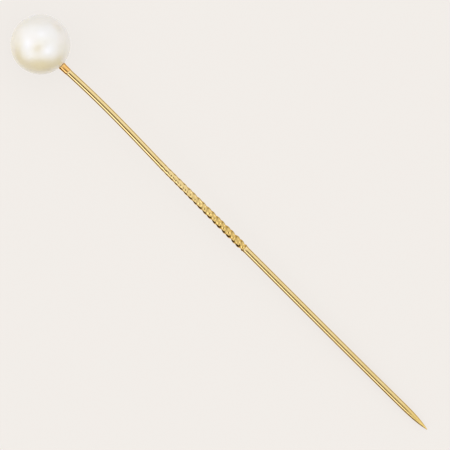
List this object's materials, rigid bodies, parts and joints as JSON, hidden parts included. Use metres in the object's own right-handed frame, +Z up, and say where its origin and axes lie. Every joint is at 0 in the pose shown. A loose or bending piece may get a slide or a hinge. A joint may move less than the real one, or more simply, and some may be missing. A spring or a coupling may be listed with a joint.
{
  "type": "pearl stick pin",
  "caption": "Short hat or cravat pin: a round pearl head on a slim gold shank with a spiral grip along its middle and a ground point.",
  "frame": {"origin": "on the surface that the pin lies on, under the middle of its bounding box", "axes": "+X along the pin from the pearl towards the point, +Y across it, +Z up from the surface. The pin lies on its pearl and on its lower end, so its own axis slopes down by 3 degrees towards the point."},
  "size_m": [0.065, 0.0068, 0.0068],
  "materials": {
    "nacre": "gloss",
    "shell_bead": "satin",
    "cement": "satin",
    "gold": "gloss",
    "worn_gold": "satin",
    "gold_solder": "satin"
  },
  "bodies": {
    "root": {"pearl_nacre": "nacre", "pearl_nucleus": "shell_bead", "pearl_cement": "cement", "pearl_peg": "gold", "pearl_cup": "gold", "cup_solder": "gold_solder", "upper_shank": "gold", "shank_solder": "gold_solder", "lower_shank": "worn_gold"}
  },
  "joints": []
}
